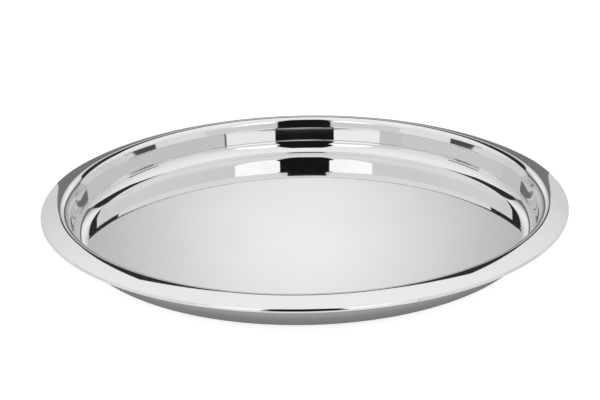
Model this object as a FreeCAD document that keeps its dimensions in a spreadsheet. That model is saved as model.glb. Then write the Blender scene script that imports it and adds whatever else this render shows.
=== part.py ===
"""Shallow round steel pan, pressed from one disc of sheet steel.

The pan has a flat floor, a rounded corner, a steep wall that leans out a little
more at its shoulder, a rounded crest and a domed, falling flange whose outer
edge is turned down.  Its section is one band of sheet of even thickness, so it
is drawn once and turned about the upright axis.

Frame: +Z up, origin at the centre of the underside, millimetres.
"""
import FreeCAD, Part
import math
import os

import Sketcher

os.makedirs("parts", exist_ok=True)
doc = FreeCAD.newDocument("steel_pan")

# Driving dimensions in millimetres and degrees: (alias, value, meaning).
DIMENSIONS = [
    ("overall_radius", 200.0, "outermost radius, at the turned-down edge"),
    ("overall_height", 30.0, "underside of the floor to the crest"),
    ("sheet", 1.0, "thickness of the steel"),
    ("base_bend", 11.0, "bend between floor and wall, upper face"),
    ("wall_draft", 5.5, "lean of the wall out of upright, degrees"),
    ("shoulder_bend", 3.5, "bend between wall and shoulder, upper face"),
    ("shoulder", 4.0, "straight slanting length of the shoulder"),
    ("shoulder_lean", 22.0, "lean of the shoulder out of upright, degrees"),
    ("crest_radius", 185.0, "radius of the circle along the top of the crest"),
    ("crest_bend", 6.0, "bend of the crest, upper face"),
    ("flange_curve", 70.0, "radius of the flange's slight dome, upper face"),
    ("edge_bend", 2.0, "bend of the outer edge, upper face"),
    ("edge_height", 24.8, "underside of the floor to the centre of the edge bend"),
    ("edge_lip", 0.5, "straight turned-down length below the edge bend"),
]


def make_sheet(document, rows):
    """Put the driving dimensions in a spreadsheet, one aliased cell each."""
    table = document.addObject("Spreadsheet::Sheet", "Dimensions")
    for number, (alias, value, meaning) in enumerate(rows, start=1):
        table.set(f"A{number}", meaning)
        table.set(f"B{number}", str(value))
        table.setAlias(f"B{number}", alias)
    document.recompute()
    return table


def origin_feature(body, role):
    """Find one of the body's own origin planes or axes by its role."""
    return next(item for item in body.Origin.OriginFeatures if item.Role == role)


def on_circle(centre, radius, angle):
    """Point on a circle, the angle in radians from the outward direction."""
    return FreeCAD.Vector(
        centre[0] + radius * math.cos(angle),
        centre[1] + radius * math.sin(angle),
        0.0,
    )


class Bends:
    """Where the bends of the section are centred (x outwards, y up), and the
    directions from those centres, as angles from the outward direction."""

    def __init__(self, table):
        quarter = math.pi / 2
        self.draft = math.radians(table.wall_draft)
        self.lean = math.radians(table.shoulder_lean)
        self.wall_side = math.pi - self.draft
        self.shoulder_side = math.pi - self.lean
        self.crest = (table.crest_radius, table.overall_height - table.crest_bend)
        self.edge = (table.overall_radius - table.edge_bend, table.edge_height)

        # Down from the crest: the shoulder, its bend, the wall, the base bend.
        shoulder_top = on_circle(self.crest, table.crest_bend, self.shoulder_side)
        shoulder_foot = on_circle(shoulder_top, table.shoulder, -quarter - self.lean)
        centre = on_circle(shoulder_foot, table.shoulder_bend, -self.lean)
        self.shoulder = (centre.x, centre.y)
        wall_top = on_circle(centre, table.shoulder_bend, self.wall_side)
        base_y = table.sheet + table.base_bend
        foot_y = base_y - table.base_bend * math.sin(self.draft)
        wall = (wall_top.y - foot_y) / math.cos(self.draft)
        wall_foot = on_circle(wall_top, wall, -quarter - self.draft)
        self.base = (wall_foot.x - table.base_bend * math.cos(self.draft), base_y)

        # Out from the crest: the flange's circle touches the crest and edge bends.
        to_crest = table.flange_curve - table.crest_bend
        to_edge = table.flange_curve - table.edge_bend
        run = self.edge[0] - self.crest[0]
        rise = self.edge[1] - self.crest[1]
        span = math.hypot(run, rise)
        cosine = (span**2 + to_crest**2 - to_edge**2) / (2 * span * to_crest)
        direction = math.atan2(rise, run) - math.acos(cosine)
        centre = on_circle(self.crest, to_crest, direction)
        self.flange = (centre.x, centre.y)
        self.flange_top = math.atan2(self.crest[1] - centre.y, self.crest[0] - centre.x)
        self.flange_foot = math.atan2(self.edge[1] - centre.y, self.edge[0] - centre.x)


def face_chain(bends, table, depth):
    """Nine curves along the face at this depth in the sheet, axis to lip."""
    quarter = math.pi / 2
    base_radius = table.base_bend + depth
    shoulder_radius = table.shoulder_bend - depth
    crest_radius = table.crest_bend - depth
    edge_radius = table.edge_bend - depth
    floor_y = table.sheet - depth
    lip_y = bends.edge[1] - table.edge_lip

    def arc(centre, radius, start, end):
        circle = Part.Circle(FreeCAD.Vector(*centre, 0), FreeCAD.Vector(0, 0, 1), radius)
        return Part.ArcOfCircle(circle, start, end)

    lip_top = on_circle(bends.edge, edge_radius, 0.0)
    return [
        Part.LineSegment(
            FreeCAD.Vector(0, floor_y, 0), on_circle(bends.base, base_radius, -quarter)
        ),
        arc(bends.base, base_radius, -quarter, -bends.draft),
        Part.LineSegment(
            on_circle(bends.base, base_radius, -bends.draft),
            on_circle(bends.shoulder, shoulder_radius, bends.wall_side),
        ),
        arc(bends.shoulder, shoulder_radius, bends.shoulder_side, bends.wall_side),
        Part.LineSegment(
            on_circle(bends.shoulder, shoulder_radius, bends.shoulder_side),
            on_circle(bends.crest, crest_radius, bends.shoulder_side),
        ),
        arc(bends.crest, crest_radius, bends.flange_top, bends.shoulder_side),
        arc(bends.flange, table.flange_curve - depth, bends.flange_foot, bends.flange_top),
        arc(bends.edge, edge_radius, 0.0, bends.flange_foot),
        Part.LineSegment(lip_top, FreeCAD.Vector(lip_top.x, lip_y, 0)),
    ]


# Order of the nine curves in each face of the section.
FLOOR, BASE, WALL, SHOULDER_BEND, SHOULDER, CREST, FLANGE, EDGE, LIP = range(9)
START, END, CENTRE = 1, 2, 3

# How neighbouring curves meet: (curve, its point, next curve, its point).
JOINTS = [
    (FLOOR, END, BASE, START),
    (BASE, END, WALL, START),
    (WALL, END, SHOULDER_BEND, END),
    (SHOULDER_BEND, START, SHOULDER, START),
    (SHOULDER, END, CREST, END),
    (CREST, START, FLANGE, END),
    (FLANGE, START, EDGE, END),
    (EDGE, START, LIP, START),
]


def add_face(sketch, curves):
    """Add one face's curves and make each tangent to the next."""
    first = sketch.addGeometry(curves, False)[0]
    for curve, point, following, its_point in JOINTS:
        sketch.addConstraint(
            Sketcher.Constraint(
                "Tangent", first + curve, point, first + following, its_point
            )
        )
    return first


def bind(sketch, name, constraint, expression):
    """Add a named dimension and tie it to the spreadsheet."""
    index = sketch.addConstraint(constraint)
    sketch.renameConstraint(index, name)
    sketch.setExpression(f"Constraints.{name}", expression)


def draw_section(sketch, table):
    """Draw the band of sheet: upper face, under face and the two ends."""
    bends = Bends(table)
    thick = table.sheet
    upper_curves = face_chain(bends, table, 0.0)
    under_curves = face_chain(bends, table, thick)
    upper = add_face(sketch, upper_curves)
    under = add_face(sketch, under_curves)

    axis_end, lip_end = sketch.addGeometry(
        [
            Part.LineSegment(under_curves[FLOOR].StartPoint, upper_curves[FLOOR].StartPoint),
            Part.LineSegment(under_curves[LIP].EndPoint, upper_curves[LIP].EndPoint),
        ],
        False,
    )
    link = Sketcher.Constraint
    sketch.addConstraint(
        [
            link("Coincident", axis_end, START, under + FLOOR, START),
            link("Coincident", axis_end, END, upper + FLOOR, START),
            link("Coincident", lip_end, START, under + LIP, END),
            link("Coincident", lip_end, END, upper + LIP, END),
            link("Coincident", under + FLOOR, START, -1, START),
            link("Vertical", axis_end),
            link("Horizontal", lip_end),
            link("Horizontal", upper + FLOOR),
            link("Horizontal", under + FLOOR),
            link("Vertical", upper + LIP),
            link("Vertical", under + LIP),
        ]
    )
    for bend in (BASE, SHOULDER_BEND, CREST, EDGE):
        sketch.addConstraint(link("Coincident", upper + bend, CENTRE, under + bend, CENTRE))

    def dimension(name, kind, places, value, expression):
        bind(sketch, name, link(kind, *places, value), expression)

    dimension("sheet_floor", "DistanceY", (axis_end, START, axis_end, END), thick, "Dimensions.sheet")
    dimension("base_upper", "Radius", (upper + BASE,), table.base_bend, "Dimensions.base_bend")
    for curve, alias in (
        (SHOULDER_BEND, "shoulder_bend"),
        (CREST, "crest_bend"),
        (FLANGE, "flange_curve"),
        (EDGE, "edge_bend"),
    ):
        radius = getattr(table, alias)
        dimension(f"{alias}_upper", "Radius", (upper + curve,), radius, f"Dimensions.{alias}")
        dimension(
            f"{alias}_under", "Radius", (under + curve,), radius - thick,
            f"Dimensions.{alias} - Dimensions.sheet",
        )
    crest_centre = (-1, START, upper + CREST, CENTRE)
    edge_centre = (-1, START, upper + EDGE, CENTRE)
    dimension("crest_out", "DistanceX", crest_centre, bends.crest[0], "Dimensions.crest_radius")
    dimension(
        "crest_up", "DistanceY", crest_centre, bends.crest[1],
        "Dimensions.overall_height - Dimensions.crest_bend",
    )
    dimension(
        "edge_out", "DistanceX", edge_centre, bends.edge[0],
        "Dimensions.overall_radius - Dimensions.edge_bend",
    )
    dimension("edge_up", "DistanceY", edge_centre, bends.edge[1], "Dimensions.edge_height")
    dimension(
        "lip_down", "DistanceY", (upper + LIP, END, upper + LIP, START), table.edge_lip,
        "Dimensions.edge_lip",
    )
    dimension(
        "wall_rise", "Angle", (upper + WALL,), math.pi / 2 - bends.draft,
        "90 deg - Dimensions.wall_draft * 1 deg",
    )
    dimension(
        "shoulder_rise", "Angle", (upper + SHOULDER,), math.pi / 2 - bends.lean,
        "90 deg - Dimensions.shoulder_lean * 1 deg",
    )
    dimension(
        "shoulder_length", "Distance", (upper + SHOULDER,), table.shoulder,
        "Dimensions.shoulder",
    )


def make_pan(document, table):
    """The whole pan: the section of sheet turned once about the upright axis."""
    body = document.addObject("PartDesign::Body", "pan_body")
    body.Label = "pan_body"
    sketch = body.newObject("Sketcher::SketchObject", "sheet_section")
    sketch.AttachmentSupport = [(origin_feature(body, "XZ_Plane"), "")]
    sketch.MapMode = "FlatFace"
    draw_section(sketch, table)
    document.recompute()
    turn = body.newObject("PartDesign::Revolution", "turned_sheet")
    turn.Profile = sketch
    turn.ReferenceAxis = (sketch, ["V_Axis"])
    turn.Angle = 360.0
    body.Placement = FreeCAD.Placement()
    return body


def check(document, bodies):
    """Stop before anything is written if any object failed to build."""
    document.recompute()
    for item in document.Objects:
        if "Invalid" in item.State or "Error" in item.State:
            raise RuntimeError(f"{item.Label} did not build: {item.State}")
    for body in bodies:
        if body.Shape.isNull() or not body.Shape.isValid():
            raise RuntimeError(f"{body.Label} has no valid shape")


dimensions = make_sheet(doc, DIMENSIONS)
sub_parts = [make_pan(doc, dimensions)]
check(doc, sub_parts)
for sub_part in sub_parts:
    sub_part.Shape.exportStep(f"parts/{sub_part.Label}.step")
    print(sub_part.Label, "volume", round(sub_part.Shape.Volume, 1), "mm3")
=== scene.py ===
"""Looks of the shallow round steel pan: one pressed sheet of mirror-polished steel.

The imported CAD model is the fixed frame.  The pan is drawn again here as a fine
turned mesh with exact normals, because a mirror shows every facet.  Round it is a
white tent of glowing cards that only the pan's reflections show.
Metres, +Z up, the pan stands on the plane z = 0.
"""

import math
from collections import namedtuple

import bpy
from mathutils import Matrix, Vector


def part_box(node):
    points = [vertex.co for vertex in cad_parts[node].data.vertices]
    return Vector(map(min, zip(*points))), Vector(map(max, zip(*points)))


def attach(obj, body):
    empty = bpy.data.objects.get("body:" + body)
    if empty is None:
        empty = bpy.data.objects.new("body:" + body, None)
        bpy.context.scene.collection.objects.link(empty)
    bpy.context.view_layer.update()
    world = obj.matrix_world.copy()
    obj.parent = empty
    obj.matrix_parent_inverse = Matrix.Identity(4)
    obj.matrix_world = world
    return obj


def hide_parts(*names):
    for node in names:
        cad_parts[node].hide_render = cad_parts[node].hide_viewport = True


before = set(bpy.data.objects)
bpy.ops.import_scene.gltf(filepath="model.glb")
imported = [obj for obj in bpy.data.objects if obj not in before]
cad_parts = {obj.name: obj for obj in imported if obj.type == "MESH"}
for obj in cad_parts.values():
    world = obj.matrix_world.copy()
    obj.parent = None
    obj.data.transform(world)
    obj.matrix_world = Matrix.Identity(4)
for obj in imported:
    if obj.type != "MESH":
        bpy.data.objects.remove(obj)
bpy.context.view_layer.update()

# ---------------------------------------------------------------- the pan's section
MM = 0.001
LOW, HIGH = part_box("pan_body")
OVERALL_RADIUS = (HIGH.x - LOW.x) / 2
OVERALL_HEIGHT = HIGH.z
SHEET = 1.0 * MM
CREST_RADIUS = 185.0 * MM
CREST_BEND = 6.0 * MM
SHOULDER = 4.0 * MM
SHOULDER_LEAN = math.radians(22.0)
SHOULDER_BEND = 3.5 * MM
WALL_DRAFT = math.radians(5.5)
BASE_BEND = 11.0 * MM
FLANGE_CURVE = 70.0 * MM
EDGE_BEND = 2.0 * MM
EDGE_HEIGHT = 24.8 * MM
EDGE_LIP = 0.5 * MM

# How finely the mesh follows the section and goes round the axis.
BEND_STEPS = 40
TURN_STEPS = 576
ON_AXIS = 1e-9       # a radius under this is on the axis
KEY_DIGITS = 9       # places that agree to this many digits are one mesh point


def along(point, angle, length):
    """The place a length away from a point, the angle from the outward side."""
    return (point[0] + length * math.cos(angle), point[1] + length * math.sin(angle))


def section():
    """The sheet's section as (radius, height, normal out, normal up) points.

    It runs along the upper face from the axis to the lip, then back along the
    under face.  A point is given twice where two stretches meet at a sharp edge.
    """
    quarter = math.pi / 2
    crest = (CREST_RADIUS, OVERALL_HEIGHT - CREST_BEND)

    # From the crest down: the shoulder, its bend, the wall and the base bend.
    shoulder_face = math.pi - SHOULDER_LEAN
    wall_face = math.pi - WALL_DRAFT
    shoulder_top = along(crest, shoulder_face, CREST_BEND)
    shoulder_foot = along(shoulder_top, -quarter - SHOULDER_LEAN, SHOULDER)
    shoulder = along(shoulder_foot, -SHOULDER_LEAN, SHOULDER_BEND)
    wall_top = along(shoulder, wall_face, SHOULDER_BEND)
    wall_foot_up = SHEET + BASE_BEND - BASE_BEND * math.sin(WALL_DRAFT)
    wall = (wall_top[1] - wall_foot_up) / math.cos(WALL_DRAFT)
    wall_foot = along(wall_top, -quarter - WALL_DRAFT, wall)
    base = along(wall_foot, wall_face, BASE_BEND)

    # From the crest out: the domed flange lies on a circle that touches both bends.
    edge = (OVERALL_RADIUS - EDGE_BEND, EDGE_HEIGHT)
    span = math.dist(crest, edge)
    to_crest = FLANGE_CURVE - CREST_BEND
    to_edge = FLANGE_CURVE - EDGE_BEND
    reach = (span ** 2 + to_crest ** 2 - to_edge ** 2) / (2 * span * to_crest)
    fall = math.atan2(edge[1] - crest[1], edge[0] - crest[0])
    flange = along(crest, fall - math.acos(reach), to_crest)
    flange_start = math.atan2(crest[1] - flange[1], crest[0] - flange[0])
    flange_end = math.atan2(edge[1] - flange[1], edge[0] - flange[0])
    lip_end = edge[1] - EDGE_LIP

    def bend(centre, radius, start, end, side):
        """An arc of the section; side is 1 where its face is on the arc's outside."""
        points = []
        for step in range(BEND_STEPS + 1):
            angle = start + (end - start) * step / BEND_STEPS
            out, up = math.cos(angle), math.sin(angle)
            points.append(
                (centre[0] + radius * out, centre[1] + radius * up, side * out, side * up)
            )
        return points

    upper = [(0.0, SHEET, 0.0, 1.0)]
    upper += bend(base, BASE_BEND, -quarter, -WALL_DRAFT, -1)
    upper += bend(shoulder, SHOULDER_BEND, wall_face, shoulder_face, 1)
    upper += bend(crest, CREST_BEND, shoulder_face, flange_start, 1)
    upper += bend(flange, FLANGE_CURVE, flange_start, flange_end, 1)
    upper += bend(edge, EDGE_BEND, flange_end, 0.0, 1)
    upper.append((OVERALL_RADIUS, lip_end, 1.0, 0.0))
    under = [(OVERALL_RADIUS - SHEET, lip_end, -1.0, 0.0)]
    under += bend(edge, EDGE_BEND - SHEET, 0.0, flange_end, -1)
    under += bend(flange, FLANGE_CURVE - SHEET, flange_end, flange_start, -1)
    under += bend(crest, CREST_BEND - SHEET, flange_start, shoulder_face, -1)
    under += bend(shoulder, SHOULDER_BEND - SHEET, shoulder_face, wall_face, -1)
    under += bend(base, BASE_BEND + SHEET, -WALL_DRAFT, -quarter, 1)
    under.append((0.0, 0.0, 0.0, -1.0))
    rim = [
        (OVERALL_RADIUS, lip_end, 0.0, -1.0),
        (OVERALL_RADIUS - SHEET, lip_end, 0.0, -1.0),
    ]
    return upper, rim, under


def turned(out, up, step):
    """A point or direction of the section, turned round by a number of steps."""
    angle = 2 * math.pi * step / TURN_STEPS
    return (out * math.cos(angle), out * math.sin(angle), up)


def turned_mesh(name):
    """Turn the section about the upright axis, with the exact normals on it."""
    places, faces, normals = [], [], []
    rings = {}

    def ring(radius, height):
        """The numbers of the mesh points all round, or of the one on the axis."""
        key = (round(radius, KEY_DIGITS), round(height, KEY_DIGITS))
        if key not in rings:
            first = len(places)
            if radius < ON_AXIS:
                places.append((0.0, 0.0, height))
                rings[key] = [first] * TURN_STEPS
            else:
                places.extend(turned(radius, height, step) for step in range(TURN_STEPS))
                rings[key] = list(range(first, first + TURN_STEPS))
        return rings[key]

    def band(start, end):
        """The faces all round between two neighbouring points of the section."""
        start_ring = ring(start[0], start[1])
        end_ring = ring(end[0], end[1])
        if start_ring is end_ring:
            return
        for step in range(TURN_STEPS):
            after = (step + 1) % TURN_STEPS
            corners = [
                (start_ring[step], start, step),
                (end_ring[step], end, step),
                (end_ring[after], end, step + 1),
                (start_ring[after], start, step + 1),
            ]
            if start[0] < ON_AXIS:
                corners.pop(3)
            if end[0] < ON_AXIS:
                corners.pop(2)
            faces.append([place for place, _, _ in corners])
            for _, point, turn in corners:
                normals.append(turned(point[2], point[3], turn))

    for stretch in section():
        for start, end in zip(stretch, stretch[1:]):
            band(start, end)

    mesh = bpy.data.meshes.new(name)
    mesh.from_pydata(places, [], faces)
    mesh.polygons.foreach_set("use_smooth", [True] * len(faces))
    mesh.update()
    mesh.normals_split_custom_set(normals)
    return mesh


# ---------------------------------------------------------------- materials
def new_material(name):
    """A new material with its nodes and its links."""
    material = bpy.data.materials.new(name)
    material.use_nodes = True
    tree = material.node_tree
    return material, tree.nodes, tree.links


WAVE_DEPTH = 0.12 * MM


def polished_steel():
    """Mirror-polished stainless steel: ring-wise polishing lines, a faint haze and
    the slight unevenness of a pressed sheet."""
    material, nodes, links = new_material("polished_steel")
    shader = nodes["Principled BSDF"]
    shader.inputs["Metallic"].default_value = 1.0

    place = nodes.new("ShaderNodeTexCoord")
    flat = nodes.new("ShaderNodeVectorMath")
    flat.operation = "MULTIPLY"
    flat.inputs[1].default_value = (1, 1, 0)
    radius = nodes.new("ShaderNodeVectorMath")
    radius.operation = "LENGTH"
    links.new(place.outputs["Object"], flat.inputs[0])
    links.new(flat.outputs["Vector"], radius.inputs[0])

    def noise(source, scale, detail, dimensions="3D"):
        grain = nodes.new("ShaderNodeTexNoise")
        grain.noise_dimensions = dimensions
        grain.inputs["Scale"].default_value = scale
        grain.inputs["Detail"].default_value = detail
        links.new(source, grain.inputs["W" if dimensions == "1D" else "Vector"])
        return grain.outputs["Fac"]

    def remap(source, low, high):
        """Spread the values from 0.3 to 0.7, where noise mostly lies, from low to high."""
        span = nodes.new("ShaderNodeMapRange")
        span.inputs["From Min"].default_value = 0.3
        span.inputs["From Max"].default_value = 0.7
        span.inputs["To Min"].default_value = low
        span.inputs["To Max"].default_value = high
        links.new(source, span.inputs["Value"])
        return span.outputs["Result"]

    def add(first, second):
        total = nodes.new("ShaderNodeMath")
        total.operation = "ADD"
        links.new(first, total.inputs[0])
        links.new(second, total.inputs[1])
        return total.outputs["Value"]

    # The lines change with the distance from the axis alone, so they run round it.
    lines = noise(radius.outputs["Value"], scale=900.0, detail=3.0, dimensions="1D")
    haze = noise(place.outputs["Object"], scale=14.0, detail=4.0)
    waves = noise(place.outputs["Object"], scale=11.0, detail=0.0)

    roughness = add(remap(lines, low=0.0, high=0.02), remap(haze, low=0.012, high=0.04))
    links.new(roughness, shader.inputs["Roughness"])

    tone = add(remap(haze, low=0.80, high=0.83), remap(lines, low=0.0, high=0.012))
    color = nodes.new("ShaderNodeCombineColor")
    for channel in ("Red", "Green", "Blue"):
        links.new(tone, color.inputs[channel])
    links.new(color.outputs["Color"], shader.inputs["Base Color"])

    bump = nodes.new("ShaderNodeBump")
    bump.inputs["Strength"].default_value = 1.0
    bump.inputs["Distance"].default_value = WAVE_DEPTH
    links.new(waves, bump.inputs["Height"])
    links.new(bump.outputs["Normal"], shader.inputs["Normal"])
    return material


def build_pan():
    """The whole pan, one sheet, in place of its CAD node."""
    mesh = turned_mesh("pan")
    mesh.materials.append(polished_steel())
    pan = bpy.data.objects.new("pan", mesh)
    bpy.context.scene.collection.objects.link(pan)
    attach(pan, "root")
    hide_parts("pan_body")


# ---------------------------------------------------------------- studio
# Places in the studio are in pan radii (R) from the middle of the pan's underside:
# x to the right, y away from the camera, z up.  Levels are strengths of glow.
R = OVERALL_RADIUS
TENT_SIDE = 10       # the side cloths, left and right
TENT_TOP = 5.35      # the ceiling
TENT_FRONT = -7.1    # the front cloth
TENT_BACK = 6.9      # the back cloth
TENT_END = 7         # where the side cloths and the table end, behind the back cloth
PANELS = -7          # the lit panels, just inside the front cloth
BLACK = 0.01         # the glow of the camera gap
OVAL_STEPS = 96

# How a glow fades from the middle's level to the rim's level.  Everything inside
# the core's share of the radii keeps the middle's level.
Fade = namedtuple("Fade", "middle radii core rim_level")


def glow_material(name, level, fade=None):
    """Plain glow, or one that fades."""
    material, nodes, links = new_material(name)
    nodes.remove(nodes["Principled BSDF"])
    glow = nodes.new("ShaderNodeEmission")
    glow.inputs["Color"].default_value = (1, 1, 1, 1)
    glow.inputs["Strength"].default_value = level
    if fade:
        place = nodes.new("ShaderNodeTexCoord")
        shift = nodes.new("ShaderNodeMapping")
        shift.vector_type = "TEXTURE"
        shift.inputs["Location"].default_value = tuple(R * value for value in fade.middle)
        shift.inputs["Scale"].default_value = tuple(R * value for value in fade.radii)
        ball = nodes.new("ShaderNodeTexGradient")
        ball.gradient_type = "SPHERICAL"
        ramp = nodes.new("ShaderNodeMapRange")
        ramp.interpolation_type = "SMOOTHSTEP"
        ramp.inputs["From Max"].default_value = 1 - fade.core
        ramp.inputs["To Min"].default_value = fade.rim_level
        ramp.inputs["To Max"].default_value = level
        links.new(place.outputs["Object"], shift.inputs["Vector"])
        links.new(shift.outputs["Vector"], ball.inputs["Vector"])
        links.new(ball.outputs["Fac"], ramp.inputs["Value"])
        links.new(ramp.outputs["Result"], glow.inputs["Strength"])
    links.new(glow.outputs["Emission"], nodes["Material Output"].inputs["Surface"])
    return material


def card(name, corners, level, fade=None):
    """A glowing card that only reflections see."""
    mesh = bpy.data.meshes.new(name)
    places = [tuple(R * value for value in corner) for corner in corners]
    mesh.from_pydata(places, [], [tuple(range(len(places)))])
    mesh.materials.append(glow_material(name, level, fade))
    sheet = bpy.data.objects.new(name, mesh)
    bpy.context.scene.collection.objects.link(sheet)
    sheet.visible_camera = False


def flat_card(name, z, outline, level, fade=None):
    """A card that lies flat; its outline is in (x, y)."""
    card(name, [(x, y, z) for x, y in outline], level, fade)


def across_card(name, y, outline, level, fade=None):
    """An upright card across the view; its outline is in (x, z)."""
    card(name, [(x, y, z) for x, z in outline], level, fade)


def side_card(name, x, outline, level, fade=None):
    """An upright card along the view; its outline is in (y, z)."""
    card(name, [(x, y, z) for y, z in outline], level, fade)


def rectangle(left, right, low, high):
    """An outline: from left to right one way, from low to high the other."""
    return [(left, low), (right, low), (right, high), (left, high)]


def oval(middle, half_width, half_height):
    """An outline: an ellipse about its middle."""
    outline = []
    for step in range(OVAL_STEPS):
        angle = 2 * math.pi * step / OVAL_STEPS
        across = middle[0] + half_width * math.cos(angle)
        outline.append((across, middle[1] + half_height * math.sin(angle)))
    return outline


def build_floor():
    """A pale floor; reflections see a card in its place, with a painted shadow under the pan."""
    mesh = bpy.data.meshes.new("floor")
    half = 40 * R
    mesh.from_pydata(
        [(-half, -half, 0), (half, -half, 0), (half, half, 0), (-half, half, 0)],
        [], [(0, 1, 2, 3)],
    )
    material, nodes, links = new_material("floor")
    shader = nodes["Principled BSDF"]
    shader.inputs["Base Color"].default_value = (0.9, 0.9, 0.9, 1)
    shader.inputs["Roughness"].default_value = 0.9
    shader.inputs["Specular IOR Level"].default_value = 0.0
    shader.inputs["Emission Color"].default_value = (1, 1, 1, 1)
    shader.inputs["Emission Strength"].default_value = 0.72
    mesh.materials.append(material)
    floor = bpy.data.objects.new("floor", mesh)
    bpy.context.scene.collection.objects.link(floor)
    floor.visible_glossy = False

    just_below = -0.002
    outline = rectangle(-TENT_SIDE, TENT_SIDE, PANELS, TENT_END)
    # Painted shadow of the pan: the card glows 0.2 under the pan and fades up to 0.9 at 1.3
    # radii out.
    fade = Fade(middle=(0, 0, 0), radii=(1.3, 1.3, 1.3), core=0.62, rim_level=0.9)
    flat_card("table", just_below, outline, 0.2, fade)


def build_ceiling():
    """The white ceiling, brightest over the pan."""
    outline = rectangle(-TENT_SIDE, TENT_SIDE, PANELS, TENT_BACK)
    fade = Fade(middle=(-0.5, 2, TENT_TOP), radii=(14, 12, 14), core=0, rim_level=0.82)
    flat_card("ceiling", TENT_TOP, outline, 1.0, fade)


def build_front():
    """The dark gap that the camera looks through, and the lit panels beside it."""
    # Just under the ceiling, gap and panels run on and narrow towards the pan.
    gap_up = 5.1
    gap_top = [(-1.9, -6.9), (1.7, -6.9), (1.5, -4.6), (0.3, -0.9), (-0.5, -0.9), (-1.7, -4.6)]
    flat_card("gap_top", gap_up, gap_top, BLACK)
    panel_up = 5.15
    panel_tops = (
        ("left_lamp_top", [(-6.1, -6.9), (-1.6, -6.9), (-0.4, -1.0)], -2.7),
        ("right_lamp_top", [(1.4, -6.9), (6.1, -6.9), (0.2, -1.0)], 2.7),
    )
    for name, outline, brightest_x in panel_tops:
        fade = Fade((brightest_x, -6.5, panel_up), radii=(4.6, 5.2, 5), core=0.5, rim_level=0.86)
        flat_card(name, panel_up, outline, 1.4, fade)

    # The gap stands in front of the panels' inner edges.
    gap_front = -6.95
    gap = [(-2.13, 0), (1.87, 0), (1.87, 2.2), (1.7, 5.2), (-1.9, 5.2), (-2.13, 2.2)]
    across_card("gap", gap_front, gap, BLACK)

    # Each side has a low panel and a narrow one high up.
    low_panel = (0, 2.4)
    high_panel = (4.75, 5.3)
    high_level = 1.35
    across_card("left_lamp", PANELS, rectangle(-6.35, -1.6, *low_panel), 1.12)
    across_card("left_lamp_high", PANELS, rectangle(-5.9, -1.6, *high_panel), high_level)
    across_card("right_lamp_high", PANELS, rectangle(1.4, 5.9, *high_panel), high_level)
    across_card("right_lamp", PANELS, rectangle(1.4, 6.4, *low_panel), 1.08)
    across_card("front_cloth", TENT_FRONT, rectangle(-TENT_SIDE, TENT_SIDE, 0, TENT_TOP), 0.72)

    # A dark seam over the outer edge of the right panel.
    seam_front = -6.98
    across_card("seam", seam_front, rectangle(6.3, 6.5, 0, 2.2), 0.03)


def build_sides():
    """The side cloths, darker low down, each with a dark bar in front of it."""
    for name, x, level, rim_level in (
        ("left_cloth", -TENT_SIDE, 0.93, 0.76),
        ("right_cloth", TENT_SIDE, 0.9, 0.7),
    ):
        fade = Fade((x, -1, TENT_TOP), radii=(9, 14, 4.4), core=0, rim_level=rim_level)
        side_card(name, x, rectangle(TENT_FRONT, TENT_END, 0, TENT_TOP), level, fade)
    bar = rectangle(-0.8, 3.0, 2.55, 3.5)
    for name, x in (("left_frame", -9.9), ("right_frame", 9.9)):
        side_card(name, x, bar, 0.08)


def build_back():
    """A dark arch close behind the pan, with a lit paper on it, and the back cloth."""
    # The paper is in front, then the arch's blacker upper part, then the whole arch.
    paper_back, upper_back, arch_back = 3.9, 3.95, 4.0
    arch_half, arch_high = 2.23, 4.5
    paper = oval((0, 1.74), half_width=1.56, half_height=0.68)
    fade = Fade((0, paper_back, 1.78), radii=(2.0, 2.0, 2.0), core=0, rim_level=0.48)
    across_card("paper", paper_back, paper, 1.0, fade)
    across_card("arch_top", upper_back, rectangle(-arch_half, arch_half, 1.9, arch_high), 0.03)
    across_card("arch", arch_back, rectangle(-arch_half, arch_half, 0, arch_high), 0.2)
    fade = Fade((0, TENT_BACK, TENT_TOP), radii=(14, 9, 3.8), core=0, rim_level=0.72)
    outline = rectangle(-TENT_SIDE, TENT_SIDE, 0, TENT_TOP)
    across_card("back_cloth", TENT_BACK, outline, 0.93, fade)


def build_light():
    """Soft diffuse light for the floor and the air outside the tent."""
    spread = math.radians(70)
    tilt = math.radians(-35)
    lamp = bpy.data.lights.new("soft_sun", "SUN")
    lamp.energy = 1.0
    lamp.angle = spread
    sun = bpy.data.objects.new("soft_sun", lamp)
    sun.rotation_euler = (tilt, 0, 0)
    sun.visible_glossy = False
    bpy.context.scene.collection.objects.link(sun)
    world = bpy.data.worlds.new("studio_air")
    world.use_nodes = True
    world.node_tree.nodes["Background"].inputs["Color"].default_value = (0.6, 0.6, 0.6, 1)
    bpy.context.scene.world = world


def build_camera():
    """A camera in front of the pan that looks down on it, rolled a little."""
    distance = 5.375 * R
    elevation = math.radians(21.46)
    roll = math.radians(1.138)
    aim = (-0.0166 * R, 0.0, OVERALL_HEIGHT - 0.0361 * R)
    lens = bpy.data.cameras.new("camera")
    lens.sensor_width = 36.0
    lens.lens = 84.0
    camera = bpy.data.objects.new("camera", lens)
    camera.location = (
        aim[0],
        aim[1] - distance * math.cos(elevation),
        aim[2] + distance * math.sin(elevation),
    )
    tilt = Matrix.Rotation(math.pi / 2 - elevation, 4, "X")
    turn = Matrix.Rotation(-roll, 4, "Z")
    camera.matrix_world = Matrix.Translation(camera.location) @ tilt @ turn
    bpy.context.scene.collection.objects.link(camera)
    bpy.context.scene.camera = camera


build_camera()
build_pan()
build_floor()
build_ceiling()
build_front()
build_sides()
build_back()
build_light()
bpy.context.scene.view_settings.view_transform = "Standard"
